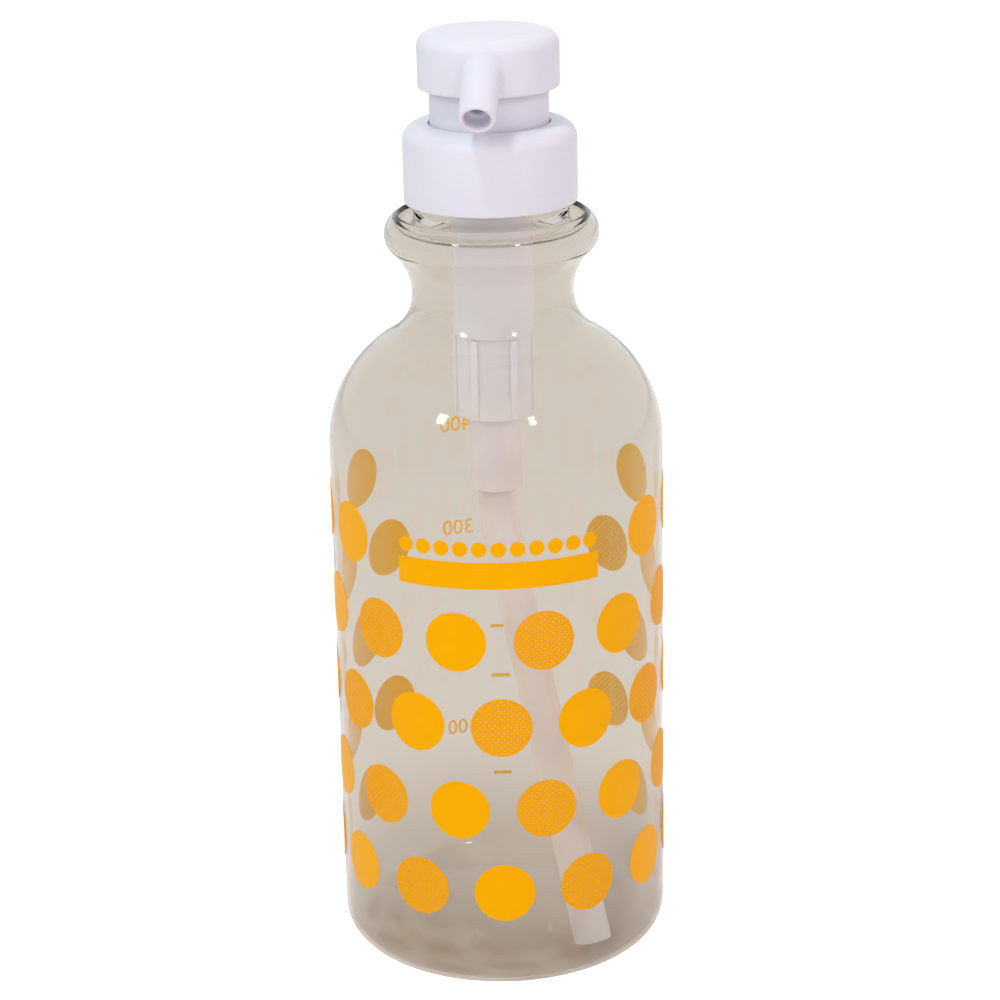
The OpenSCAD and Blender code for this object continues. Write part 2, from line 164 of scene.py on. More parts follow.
def softRays(tree):
    # 1 for shadows and bounced light, which pass through a thin wall or film
    path = addNode(tree, "ShaderNodeLightPath")
    soft = addNode(tree, "ShaderNodeMath", {"operation": "MAXIMUM"},
                   {0: path.outputs["Is Shadow Ray"], 1: path.outputs["Is Diffuse Ray"]})
    return soft.outputs[0]


def finishWith(tree, shader, share=None, behindHex=None):
    # the finished surface, where a share of what lies behind may show, tinted
    if behindHex:
        through = addNode(tree, "ShaderNodeBsdfTransparent", {"Color": linearColour(behindHex)})
        shader = addNode(tree, "ShaderNodeMixShader", None,
                         {0: share, 1: shader.outputs[0], 2: through.outputs[0]})
    addNode(tree, "ShaderNodeOutputMaterial", None, {"Surface": shader.outputs[0]})


def clearPet():
    # PET, stretch-blown: clear with a faint warm grey cast, and soft waves where the wall chilled.
    # The wall is thin with two parallel faces, so it bends light little, and its gloss is the coat.
    material, tree = startMaterial("blownPet")
    place = addNode(tree, "ShaderNodeTexCoord")
    waves = addNode(tree, "ShaderNodeTexNoise", {"Scale": 55, "Detail": 1.5, "Roughness": 0.4},
                    {"Vector": place.outputs["Object"]})  # 18 mm waves
    bump = addNode(tree, "ShaderNodeBump", {"Strength": 0.25, "Distance": 0.0006},
                   {"Height": waves.outputs["Fac"]})
    height = addNode(tree, "ShaderNodeSeparateXYZ", None, {"Vector": place.outputs["Object"]})
    towardsTop = addNode(tree, "ShaderNodeMapRange",
                   {"From Min": 0.002, "From Max": 0.036, "interpolation_type": "SMOOTHSTEP"},
                   {"Value": height.outputs["Z"]})  # the tint deepens towards the bottom
    tint = addNode(tree, "ShaderNodeMix", {"data_type": "RGBA", 6: linearColour("#DEDAD4"),
                                           7: linearColour("#F7F5F2")}, {"Factor": towardsTop.outputs[0]})
    pet = addNode(tree, "ShaderNodeBsdfPrincipled",
                  {"Roughness": 0.02, "IOR": 1.2, "Transmission Weight": 1,
                   "Coat Weight": 0.32, "Coat Roughness": 0.03, "Coat IOR": 1.57},
                  {"Base Color": tint.outputs[2], "Normal": bump.outputs["Normal"]})
    finishWith(tree, pet, softRays(tree), "#FDFCFB")
    return material


def screenInk(name, hexCode, deepCode, seeThrough):
    # UV screen ink: an even satin film, a little thinner in places, that lets a trace of light through
    material, tree = startMaterial(name)
    patches = {"Scale": 240, "Detail": 3, "Roughness": 0.6}  # 4 mm
    place, cloud, tint = cloudTint(tree, patches, hexCode, deepCode)
    grain = addNode(tree, "ShaderNodeTexNoise", {"Scale": 2500, "Detail": 2},
                    {"Vector": place.outputs["Object"]})  # 0.4 mm grain left by the mesh
    bump = addNode(tree, "ShaderNodeBump", {"Strength": 0.15, "Distance": 0.00005},
                   {"Height": grain.outputs["Fac"]})
    ink = addNode(tree, "ShaderNodeBsdfPrincipled",
                  {"Roughness": 0.42, "IOR": 1.5, "Specular IOR Level": 0.2,
                   "Specular Tint": linearColour("#FFC64C")},
                  {"Base Color": tint.outputs[2], "Normal": bump.outputs["Normal"]})
    share = addNode(tree, "ShaderNodeMapRange", {"To Min": seeThrough, "To Max": 0.5},
                    {"Value": softRays(tree)})
    finishWith(tree, ink, share.outputs[0], "#FFC030")
    return material


def whitePp():
    # Polypropylene, injection moulded and pigmented white: cool white, satin, a fine tool grain
    material, tree = startMaterial("mouldedWhitePp")
    flow = {"Scale": 90, "Detail": 2, "Roughness": 0.5}  # 11 mm clouds
    place, cloud, tint = cloudTint(tree, flow, "#DDDEE8", "#D8D9E3")
    gloss = addNode(tree, "ShaderNodeMapRange", {"To Min": 0.3, "To Max": 0.4},
                    {"Value": cloud.outputs["Fac"]})
    grain = addNode(tree, "ShaderNodeTexNoise", {"Scale": 2800, "Detail": 3, "Roughness": 0.6},
                    {"Vector": place.outputs["Object"]})  # 0.35 mm tool grain
    bump = addNode(tree, "ShaderNodeBump", {"Strength": 0.12, "Distance": 0.00006},
                   {"Height": grain.outputs["Fac"]})
    plastic = addNode(tree, "ShaderNodeBsdfPrincipled",
                      {"IOR": 1.49, "Subsurface Weight": 0.3, "Subsurface Scale": 0.0018},
                      {"Base Color": tint.outputs[2], "Roughness": gloss.outputs[0],
                       "Normal": bump.outputs["Normal"]})
    finishWith(tree, plastic)
    return material


def milkyPp(name, body, seeThrough):
    # Natural polypropylene, without pigment: milky, see-through where thin, denser at its edges
    material, tree = startMaterial(name)
    place = addNode(tree, "ShaderNodeTexCoord")
    cloud = addNode(tree, "ShaderNodeTexNoise", {"Scale": 120, "Detail": 2, "Roughness": 0.5},
                    {"Vector": place.outputs["Object"]})  # 8 mm clouds
    haze = addNode(tree, "ShaderNodeMapRange", {"To Min": 0.18, "To Max": 0.28},
                   {"Value": cloud.outputs["Fac"]})
    plastic = addNode(tree, "ShaderNodeBsdfPrincipled",
                      {"Base Color": linearColour(body), "IOR": 1.49}, {"Roughness": haze.outputs[0]})
    edge = addNode(tree, "ShaderNodeLayerWeight", {"Blend": 0.35})
    share = addNode(tree, "ShaderNodeMapRange", {"To Min": seeThrough, "To Max": 0.15},
                    {"Value": edge.outputs["Facing"]})
    finishWith(tree, plastic, share.outputs[0], "#F6F6F8")
    return material


def softPe():
    # Polyethylene, moulded: waxy and a little grey, for the seals
    material, tree = startMaterial("mouldedSoftPe")
    tint = cloudTint(tree, {"Scale": 300, "Detail": 2}, "#DDE0E3", "#D2D6DB")[2]  # 3 mm clouds
    plastic = addNode(tree, "ShaderNodeBsdfPrincipled", {"Roughness": 0.48, "IOR": 1.51},
                      {"Base Color": tint.outputs[2]})
    finishWith(tree, plastic)
    return material


def drawnSteel():
    # Stainless steel, drawn wire and ground balls: bright, with fine lines
    material, tree = startMaterial("drawnStainlessSteel")
    place = addNode(tree, "ShaderNodeTexCoord")
    lines = addNode(tree, "ShaderNodeTexNoise", {"Scale": 1800, "Detail": 2},
                    {"Vector": place.outputs["Object"]})
    gloss = addNode(tree, "ShaderNodeMapRange", {"To Min": 0.16, "To Max": 0.3},
                    {"Value": lines.outputs["Fac"]})
    steel = addNode(tree, "ShaderNodeBsdfPrincipled",
                    {"Base Color": linearColour("#C8C9CB"), "Metallic": 1},
                    {"Roughness": gloss.outputs[0]})
    finishWith(tree, steel)
    return material


pet = clearPet()
solidInk = screenInk("screenInkYellow", "#F2B000", "#EFAB00", 0.08)
# the ink's inner face, seen from inside the bottle, gets a paler, brighter yellow: painted light for the
# rear dots, which get little light inside the bottle
paintedLightUnderInk = screenInk("screenInkUndersidePaintedLight", "#FFD020", "#FCCA1A", 0.08)
thinInk = screenInk("screenInkThin", "#EDAB14", "#E6A30E", 0.12)
white = whitePp()
milky = milkyPp("naturalPp", "#FAFAFC", 0.45)
milkyTube = milkyPp("naturalPpTube", "#FBFAF7", 0.55)
seal = softPe()
steel = drawnSteel()
print("materials made")


# Bottle

bottleSizes = {
    "bodyR": 37, "wallTop": 118.6, "wall": 0.9, "heelR": 7, "standR": 30, "domeRim": 28, "domeRise": 3.5,
    "shoulderR": 27.8, "waistR": 17.7, "waistLowR": 11, "waistHighR": 13, "beadAt": 18.6, "beadR": 4.85,
    "grooveR": 1.6, "grooveRise": 3.3, "ringHeight": 2.6, "finishR": 15.9, "mouthR": 14.6,
    "finishHeight": 12.9, "softEdge": 0.5, "edge": 0.35, "threadRise": 3.2, "threadPitch": 4.2,
    "threadTurns": 1.6, "threadShape": ((-0.1, -0.9), (0.85, -0.35), (0.85, 0.35), (-0.1, 0.9))}


def bottleHeights(s):
    # heights that follow from curves that touch
    low = s["waistR"] + s["waistLowR"] - s["bodyR"] + s["shoulderR"]
    waistZ = s["wallTop"] + sqrt((s["shoulderR"] + s["waistLowR"]) ** 2 - low ** 2)
    high = s["waistR"] + s["waistHighR"] - s["beadAt"]
    beadZ = waistZ + sqrt((s["waistHighR"] + s["beadR"]) ** 2 - high ** 2)
    ringTop = beadZ + s["grooveRise"] + s["ringHeight"]
    return waistZ, beadZ, ringTop, ringTop + s["finishHeight"]


def makeBottle(s):
    waistZ, beadZ, ringTop, lipZ = bottleHeights(s)
    grooveZ = beadZ + s["grooveRise"]
    domeR = (s["domeRim"] ** 2 + s["domeRise"] ** 2) / (2 * s["domeRise"])
    domeZ = s["domeRise"] - domeR
    shoulderAt = s["bodyR"] - s["shoulderR"]
    lowAt = s["waistR"] + s["waistLowR"]
    highAt = s["waistR"] + s["waistHighR"]
    lowTurn = degrees(atan2(waistZ - s["wallTop"], lowAt - shoulderAt))
    highTurn = degrees(atan2(beadZ - waistZ, highAt - s["beadAt"]))
    ringR = s["beadAt"] - s["grooveR"]
    beadTop = sqrt(s["beadR"] ** 2 - s["grooveR"] ** 2)
    wall = s["wall"]
    # the inner groove and the inner bead meet here
    inGroove, inBead, rise = s["grooveR"] + wall, s["beadR"] - wall, s["grooveRise"]
    meetZ = (inBead ** 2 - inGroove ** 2 + rise ** 2) / (2 * rise)
    meetR = sqrt(inBead ** 2 - meetZ ** 2)
    inDome = domeR + wall
    inRim = sqrt(inDome ** 2 - (wall - domeZ) ** 2)
    flare = ringR - wall - s["mouthR"]
    bm = tracePath((0, s["domeRise"]), [
        ("arc", 0, domeZ, -degrees(asin(s["domeRim"] / domeR))),
        ("to", s["standR"], 0),
        ("arc", s["standR"], s["heelR"], 90),
        ("to", s["bodyR"], s["wallTop"] / 2),
        ("to", s["bodyR"], s["wallTop"]),
        ("arc", shoulderAt, s["wallTop"], lowTurn),
        ("arc", lowAt, waistZ, -lowTurn),
        ("arc", highAt, waistZ, -highTurn),
        ("arc", s["beadAt"], beadZ, highTurn + degrees(atan2(beadTop, s["grooveR"]))),
        ("to", s["beadAt"] + s["grooveR"], grooveZ),
        ("arc", s["beadAt"], grooveZ, -180),
        ("to", ringR, ringTop),
        ("to", s["finishR"], ringTop),
        ("to", s["finishR"], lipZ),
        ("to", s["mouthR"], lipZ),
        ("to", s["mouthR"], grooveZ + flare),
        ("to", ringR - wall, grooveZ),
        ("arc", s["beadAt"], grooveZ, 180 + degrees(atan2(meetZ - rise, meetR))),
        ("arc", s["beadAt"], beadZ, -highTurn - degrees(atan2(meetZ, meetR))),
        ("arc", highAt, waistZ, highTurn),
        ("arc", lowAt, waistZ, lowTurn),
        ("arc", shoulderAt, s["wallTop"], -lowTurn),
        ("to", s["bodyR"] - wall, s["heelR"]),
        ("arc", s["standR"], s["heelR"], -90),
        ("to", inRim, wall),
        ("arc", 0, domeZ, degrees(asin(inRim / inDome)))])
    roundCorners(bm, s["softEdge"], [(s["beadAt"] + s["grooveR"], beadZ + beadTop), (s["domeRim"], 0),
                                     (inRim, wall)])
    roundCorners(bm, s["edge"], [(ringR, ringTop), (s["finishR"], ringTop), (s["finishR"], lipZ),
                                 (s["mouthR"], lipZ), (s["mouthR"], grooveZ + flare),
                                 (ringR - wall, grooveZ)])
    spinRound(bm, 180)
    addThread(bm, s["finishR"], ringTop + s["threadRise"], s)
    finishPiece(bm, "petBottle", "bottle", pet, ["bottle"])


makeBottle(bottleSizes)
print("bottle made")


# Print on the straight wall

printSizes = {
    "r": 37.02, "ink": 0.12, "dot": 13.5, "lowestDot": 24.6, "rowPitch": 19.7, "rows": 5, "columns": 12,
    "halfAngle": 138, "labelHalf": 35, "labelGap": 15, "labelInset": 3, "bandHeight": 6, "bandZ": 99,
    "smallDot": 3.4, "smallDots": 11, "smallDotZ": 104.9, "markZ": 20.9, "markPitch": 12.8, "marks": 8,
    "markWidth": 4.5, "markHeight": 0.8, "hatchPitch": 0.95, "hatchLine": 0.7, "hatchRim": 0.45}


def cutForWrap(bm, step=1.2):
    # upright cuts, so that a flat shape can follow the round wall
    reach = max(abs(v.co.x) for v in bm.verts)
    x = -step * int(reach / step)
    while x <= reach:
        bmesh.ops.bisect_plane(bm, geom=bm.verts[:] + bm.edges[:] + bm.faces[:], dist=0.0001,
                               plane_co=(x, 0, 0), plane_no=(1, 0, 0), clear_inner=False,
                               clear_outer=False)
        x += step


def wrapOnWall(bm, angle, z, r, thickness):
    # lays a flat XZ shape round the wall at an angle from the front, and gives it its thickness
    for v in bm.verts:
        turn = radians(angle) + v.co.x / r
        v.co = (r * sin(turn), -r * cos(turn), z + v.co.z)
    raised = bmesh.ops.extrude_face_region(bm, geom=bm.faces[:], use_keep_orig=True)
    for v in ofKind(raised["geom"], BMVert):
        v.co.x *= (r + thickness) / r
        v.co.y *= (r + thickness) / r
    bmesh.ops.recalc_face_normals(bm, faces=bm.faces[:])
    for f in bm.faces:
        if f.calc_center_median().xy.length < r + thickness / 4:
            f.material_index = 1  # the underside


def flatDisc(diameter, sides=56):
    bm = bmesh.new()
    bmesh.ops.create_circle(bm, cap_ends=True, radius=diameter / 2, segments=sides,
                            matrix=Matrix.Rotation(radians(90), 4, "X"))
    return bm


def flatPanel(width, height):
    bm = bmesh.new()
    bmesh.ops.create_grid(bm, x_segments=1, y_segments=1, size=0.5,
                          matrix=Matrix.Rotation(radians(90), 4, "X")
                          @ Matrix.Diagonal((width, height, 1, 1)))
    return bm


def hatchedDisc(s):
    # a round patch of the screen: two families of lines at 45 degrees, open between them
    bm = flatDisc(s["dot"])
    pitch, line = s["hatchPitch"], s["hatchLine"]
    count = int(s["dot"] / 2 / pitch) + 1
    slants = [Vector((1, 0, 1)).normalized(), Vector((1, 0, -1)).normalized()]
    for slant in slants:
        for i in range(-count, count + 1):
            for side in (-line / 2, line / 2):
                bmesh.ops.bisect_plane(bm, geom=bm.verts[:] + bm.edges[:] + bm.faces[:], dist=0.0001,
                                       plane_co=slant * (i * pitch + side), plane_no=slant,
                                       clear_inner=False, clear_outer=False)

    def inGap(point, slant):
        offset = point.dot(slant) / pitch
        return abs(offset - round(offset)) > line / 2 / pitch

    holes = [f for f in bm.faces
             if inGap(f.calc_center_median(), slants[0]) and inGap(f.calc_center_median(), slants[1])
             and f.calc_center_median().length < s["dot"] / 2 - s["hatchRim"]]
    bmesh.ops.delete(bm, geom=holes, context="FACES")
    return bm


def dotPlaces(s, solid):
    places = []
    for row in range(s["rows"]):
        for column in range(-s["columns"] // 2, s["columns"] // 2 + 1):
            angle = 360 / s["columns"] * (column + (row % 2) / 2)
            isSolid = (column + row // 2) % 2 == 0 if row % 2 == 0 else column % 2 != 0
            inLabel = row == s["rows"] - 1 and abs(angle) < s["labelHalf"] + s["labelGap"]
            if abs(angle) <= s["halfAngle"] and not inLabel and isSolid == solid:
                places.append((angle, s["lowestDot"] + row * s["rowPitch"]))
    return places


def addPrinted(target, flat, angle, z, s):
    copy = flat.copy()
    wrapOnWall(copy, angle, z, s["r"], s["ink"])
    carrier = bpy.data.meshes.new("carrier")
    copy.to_mesh(carrier)
    copy.free()
    target.from_mesh(carrier)
    bpy.data.meshes.remove(carrier)


def makePrint(s):
    solid, hatched, label, small, marks = [bmesh.new() for i in range(5)]
    disc = flatDisc(s["dot"])
    cutForWrap(disc)
    for angle, z in dotPlaces(s, True):
        addPrinted(solid, disc, angle, z, s)
    patch = hatchedDisc(s)
    for angle, z in dotPlaces(s, False):
        addPrinted(hatched, patch, angle, z, s)
    band = flatPanel(2 * radians(s["labelHalf"]) * s["r"], s["bandHeight"])
    cutForWrap(band)
    addPrinted(label, band, 0, s["bandZ"], s)
    point = flatDisc(s["smallDot"], 28)
    cutForWrap(point)
    pitch = 2 * (s["labelHalf"] - s["labelInset"]) / (s["smallDots"] - 1)
    for i in range(s["smallDots"]):
        addPrinted(small, point, (i - (s["smallDots"] - 1) / 2) * pitch, s["smallDotZ"], s)
    bar = flatPanel(s["markWidth"], s["markHeight"])
    cutForWrap(bar)
    for i in range(s["marks"]):
        addPrinted(marks, bar, 180, s["markZ"] + i * s["markPitch"], s)
    for flat in (disc, patch, band, point, bar):
        flat.free()
    for bm, name, ink, node, slot in [(solid, "solidDots", solidInk, "solid_dots", "yellow_ink"),
                                      (hatched, "hatchedDots", thinInk, "hatched_dots", "thin_ink"),
                                      (label, "labelBand", solidInk, "label_band", "yellow_ink"),
                                      (small, "labelDots", solidInk, "label_dots", "yellow_ink"),
                                      (marks, "volumeMarks", thinInk, "volume_marks", "yellow_ink")]:
        printed = finishPiece(bm, name, "bottle", ink, [node])
        printed.data.materials.append(paintedLightUnderInk)


makePrint(printSizes)
print("print made")


# Plain numbers beside every second mark of the scale

numberSizes = {"height": 5.2, "gap": 3.4, "values": {"100": 1, "200": 3, "300": 5, "400": 7}}


def makeNumbers(s, p):
    bm = bmesh.new()
    for text, index in s["values"].items():
        curve = bpy.data.curves.new("number" + text, "FONT")
        curve.body = text
        curve.size = s["height"]
        curve.align_x = "LEFT"
        curve.align_y = "CENTER"
        writer = addObject("number" + text, curve)
        bpy.context.view_layer.update()
        flat = bpy.data.meshes.new_from_object(writer)
        bpy.data.objects.remove(writer)
        glyphs = bmesh.new()
        glyphs.from_mesh(flat)
        bpy.data.meshes.remove(flat)
        bmesh.ops.transform(glyphs, matrix=Matrix.Rotation(radians(90), 4, "X"),
                            verts=glyphs.verts[:])
        bmesh.ops.translate(glyphs, vec=(p["markWidth"] / 2 + s["gap"], 0, 0),
                            verts=glyphs.verts[:])
        cutForWrap(glyphs)
        addPrinted(bm, glyphs, 180, p["markZ"] + index * p["markPitch"], p)
        glyphs.free()
    numbers = finishPiece(bm, "scaleNumbers", "bottle", thinInk, [])
    numbers.data.materials.append(paintedLightUnderInk)


makeNumbers(numberSizes, printSizes)
print("numbers made")


# Closure

closureSizes = {"r": 18.9, "side": 1.8, "edgeR": 3.8, "bottom": 172.37, "top": 189.52, "inside": 187.97,
                "holeR": 13.15, "inEdgeR": 1.2, "edge": 0.35, "threadRise": 2.4, "threadPitch": 4.2,
                "threadTurns": 2.2, "threadShape": ((0.1, -0.8), (0.1, 0.8), (-0.3, 0.3), (-0.3, -0.3))}


def makeClosure(s):
    inner = s["r"] - s["side"]
    bm = tracePath((inner, s["bottom"]), [
        ("to", s["r"], s["bottom"]),
        ("to", s["r"], s["top"] - s["edgeR"]),
        ("arc", s["r"] - s["edgeR"], s["top"] - s["edgeR"], 90),
        ("to", s["holeR"], s["top"]),
        ("to", s["holeR"], s["inside"]),
        ("to", inner - s["inEdgeR"], s["inside"]),
        ("arc", inner - s["inEdgeR"], s["inside"] - s["inEdgeR"], -90),
        ("to", inner, s["bottom"])])
    bmesh.ops.remove_doubles(bm, verts=bm.verts[:], dist=0.0005)
    roundCorners(bm, s["edge"], [(inner, s["bottom"]), (s["r"], s["bottom"]), (s["holeR"], s["top"]),
                                 (s["holeR"], s["inside"])])
    spinRound(bm, 180)
    addThread(bm, inner, s["bottom"] + s["threadRise"], s)
    finishPiece(bm, "screwClosure", "closure", white, ["closure"])


makeClosure(closureSizes)
print("closure made")


# Lock ring

ringSizes = {"collarR": 12.9, "collarIn": 11.4, "flangeR": 15.8, "bottom": 186.42, "flangeTop": 187.92,
             "top": 198.57, "topWall": 1.5, "wellR": 7.6, "wellOut": 9, "wellZ": 188.42, "floorZ": 186.92,
             "guideR": 4.66, "guideOut": 6.06, "guideZ": 176.92, "sleeveIn": 7.04, "sleeveR": 8.04,
             "sleeveZ": 178.92, "softEdge": 0.4, "edge": 0.2, "threadRise": 3, "threadPitch": 3,
             "threadTurns": 1.8, "threadShape": ((0.1, -0.7), (0.1, 0.7), (-0.3, 0.25), (-0.3, -0.25))}


def makeLockRing(s):
    spots = [(s["collarIn"], s["bottom"]), (s["flangeR"], s["bottom"]), (s["flangeR"], s["flangeTop"]),
             (s["collarR"], s["flangeTop"]), (s["collarR"], s["top"]), (s["wellR"], s["top"]),
             (s["wellR"], s["wellZ"]), (s["guideR"], s["wellZ"]), (s["guideR"], s["guideZ"]),
             (s["guideOut"], s["guideZ"]), (s["guideOut"], s["floorZ"]), (s["sleeveIn"], s["floorZ"]),
             (s["sleeveIn"], s["sleeveZ"]), (s["sleeveR"], s["sleeveZ"]), (s["sleeveR"], s["floorZ"]),
             (s["wellOut"], s["floorZ"]), (s["wellOut"], s["top"] - s["topWall"]),
             (s["collarIn"], s["top"] - s["topWall"])]
    bm = tracePath(spots[0], [("to", r, z) for r, z in spots[1:] + spots[:1]])
    bmesh.ops.remove_doubles(bm, verts=bm.verts[:], dist=0.0005)
    roundCorners(bm, s["softEdge"], [(s["collarR"], s["top"]), (s["wellR"], s["top"])])
    roundCorners(bm, s["edge"], [(s["flangeR"], s["flangeTop"]), (s["wellR"], s["wellZ"]),
                                 (s["guideR"], s["wellZ"])])
    spinRound(bm)
    addThread(bm, s["wellR"], s["wellZ"] + s["threadRise"], s)
    finishPiece(bm, "lockRing", "pump", white, ["lock_ring"])


makeLockRing(ringSizes)
print("lock ring made")


# Housing and what shows through it

housingSizes = {"flangeR": 15.8, "flangeZ": 185.17, "top": 186.37, "r": 9, "ribsTop": 142.77,
                "ribsZ": 124.27, "ribR": 8.3, "bore": 7.4, "boreTop": 172.87, "boreZ": 128.87, "upperR": 8.1,
                "socketR": 5.9, "socketZ": 107.27, "tubeR": 4.3, "tubeTop": 113.32, "holeR": 2.2,
                "pocketR": 3.6, "pocketZ": 126.67, "ribs": 6, "ribWidth": 1.5, "ribSink": 0.1,
                "ribShort": 0.6, "ribEdge": 0.25, "softEdge": 0.4}


def makeHousing(s):
    spots = [(s["upperR"], s["top"]), (s["upperR"], s["boreTop"]), (s["bore"], s["boreTop"]),
             (s["bore"], s["boreZ"]), (s["pocketR"], s["boreZ"]), (s["pocketR"], s["pocketZ"]),
             (s["holeR"], s["pocketZ"]), (s["holeR"], s["tubeTop"]), (s["tubeR"], s["tubeTop"]),
             (s["tubeR"], s["socketZ"]), (s["socketR"], s["socketZ"]), (s["socketR"], s["ribsZ"]),
             (s["ribR"], s["ribsZ"]), (s["ribR"], s["ribsTop"]), (s["r"], s["ribsTop"]),
             (s["r"], s["flangeZ"]), (s["flangeR"], s["flangeZ"]), (s["flangeR"], s["top"])]
    bm = tracePath(spots[0], [("to", r, z) for r, z in spots[1:] + spots[:1]])
    bmesh.ops.remove_doubles(bm, verts=bm.verts[:], dist=0.0005)
    roundCorners(bm, s["softEdge"], [(s["socketR"], s["socketZ"]), (s["ribR"], s["ribsZ"]),
                                     (s["r"], s["ribsTop"]), (s["socketR"], s["ribsZ"]),
                                     (s["tubeR"], s["socketZ"])])
    spinRound(bm, 120)
    for i in range(s["ribs"]):
        depth = s["r"] - s["ribR"] + s["ribSink"]
        made = bmesh.ops.create_cube(bm, size=1)["verts"]
        bmesh.ops.scale(bm, vec=(depth, s["ribWidth"], s["ribsTop"] - s["ribsZ"] - s["ribShort"]),
                        verts=made)
        edges = {e for v in made for e in v.link_edges}
        bmesh.ops.bevel(bm, geom=list(edges), offset=s["ribEdge"], offset_type="OFFSET",
                        affect="EDGES", segments=3, profile=0.5, material=-1)
        # the bevelled bar is still at the origin, far below the rest
        made = [v for v in bm.verts if abs(v.co.z) < s["ribsTop"] - s["ribsZ"]]
        bmesh.ops.translate(bm, vec=(s["r"] - depth / 2, 0, (s["ribsTop"] + s["ribsZ"]) / 2), verts=made)
        bmesh.ops.rotate(bm, cent=(0, 0, 0), matrix=Matrix.Rotation(2 * pi * i / s["ribs"], 3, "Z"),
                         verts=made)
    finishPiece(bm, "pumpHousing", "pump", milky, ["housing"])


makeHousing(housingSizes)

tubeSizes = {"r": 4.25, "wall": 0.9, "top": 113.27, "bendZ": 107.27, "bendR": 40, "lean": 17, "turn": 42,
             "straightZ": 95.6, "endZ": 5.34}


def makeDipTube(s):
    # a ring is drawn in the socket, run round the bend, and drawn out straight to the floor
    bm = bmesh.new()
    lean = radians(s["lean"])
    run = (s["bendZ"] - s["bendR"] * sin(lean) - s["endZ"]) / cos(lean)
    rings, ends = [], []
    for r in (s["r"], s["r"] - s["wall"]):
        start = bmesh.ops.create_circle(bm, cap_ends=False, radius=r, segments=48,
                                        matrix=Matrix.Translation((0, 0, s["top"])))["verts"]
        rings.append(list({e for v in start for e in v.link_edges}))
    for edges in rings:
        made = bmesh.ops.extrude_edge_only(bm, edges=edges)["geom"]
        verts = ofKind(made, BMVert)
        bmesh.ops.translate(bm, vec=(0, 0, s["bendZ"] - s["top"]), verts=verts)
        made = bmesh.ops.spin(bm, geom=ofKind(made, BMEdge) + verts, axis=(0, -1, 0),
                              cent=(s["bendR"], 0, s["bendZ"]), dvec=(0, 0, 0), angle=lean, steps=12,
                              use_merge=False, use_duplicate=False)["geom_last"]
        made = bmesh.ops.extrude_edge_only(bm, edges=ofKind(made, BMEdge))["geom"]
        down = Vector((sin(lean), 0, -cos(lean))) * run
        bmesh.ops.translate(bm, vec=down, verts=ofKind(made, BMVert))
        ends.append(ofKind(made, BMEdge))
    bmesh.ops.bridge_loops(bm, edges=rings[0] + rings[1])
    bmesh.ops.bridge_loops(bm, edges=ends[0] + ends[1])
    bmesh.ops.rotate(bm, cent=(0, 0, 0), matrix=Matrix.Rotation(radians(s["turn"] - 90), 3, "Z"),
                     verts=bm.verts[:])
    bmesh.ops.recalc_face_normals(bm, faces=bm.faces[:])
    tube = finishPiece(bm, "dipTube", None, milkyTube, ["dip_tube"])
    # the end in the socket stays put, and the bend takes up the turn
    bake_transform(tube)


makeDipTube(tubeSizes)

springSizes = {"coilR": 5.3, "wire": 1, "z": 129.87, "length": 14.3, "turns": 6}


def makeSpring(s):
    bm = bmesh.new()
    steps = 40 * s["turns"]
    made = bmesh.ops.create_circle(bm, cap_ends=True, radius=s["wire"] / 2, segments=12,
                                   matrix=Matrix.Translation((s["coilR"], 0, s["z"] + s["wire"] / 2))
                                   @ Matrix.Rotation(radians(90), 4, "X"))["verts"]
    faces = list({f for v in made for f in v.link_faces})
    edges = list({e for v in made for e in v.link_edges})
    bmesh.ops.spin(bm, geom=faces + edges + made, cent=(0, 0, 0), axis=(0, 0, 1),
                   dvec=(0, 0, (s["length"] - s["wire"]) / steps), angle=2 * pi * s["turns"], steps=steps,
                   use_merge=False, use_duplicate=False)
    bmesh.ops.recalc_face_normals(bm, faces=bm.faces[:])
    finishPiece(bm, "liftSpring", "plunger", steel, ["spring"])


makeSpring(springSizes)

# the CAD's own meshes are shown for these
for node, material in {"gasket": seal, "inlet_ball": steel, "ball_retainer": seal, "piston": seal,
                       "stem": white, "outlet_ball": steel}.items():
    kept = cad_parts[node]
    kept.data.materials.clear()
    kept.data.materials.append(material)
print("housing and inner pieces made")


# Head with its spout

headSizes = {"r": 15.3, "bottom": 196.97, "top": 208.97, "wall": 1.8, "edgeR": 3, "bossR": 7.2,
             "bossZ": 188.72, "stemR": 4.65, "stemTop": 201.97, "channelZ": 204.37, "channelR": 1.9,
             "channelOver": 2, "seatR": 3.1, "inEdgeR": 1, "hollowDepth": 10.35, "lidRise": 4.1,
             "lidThick": 10, "spoutR": 3.8, "spoutRootR": 4.4, "bend": 10, "bendR": 9, "reach": 25,
             "drop": 33.5, "turn": 6, "outletR": 2.9, "outletDepth": 3.5, "grain": 0.34,
             "smoothTimes": 4, "crease": 70}


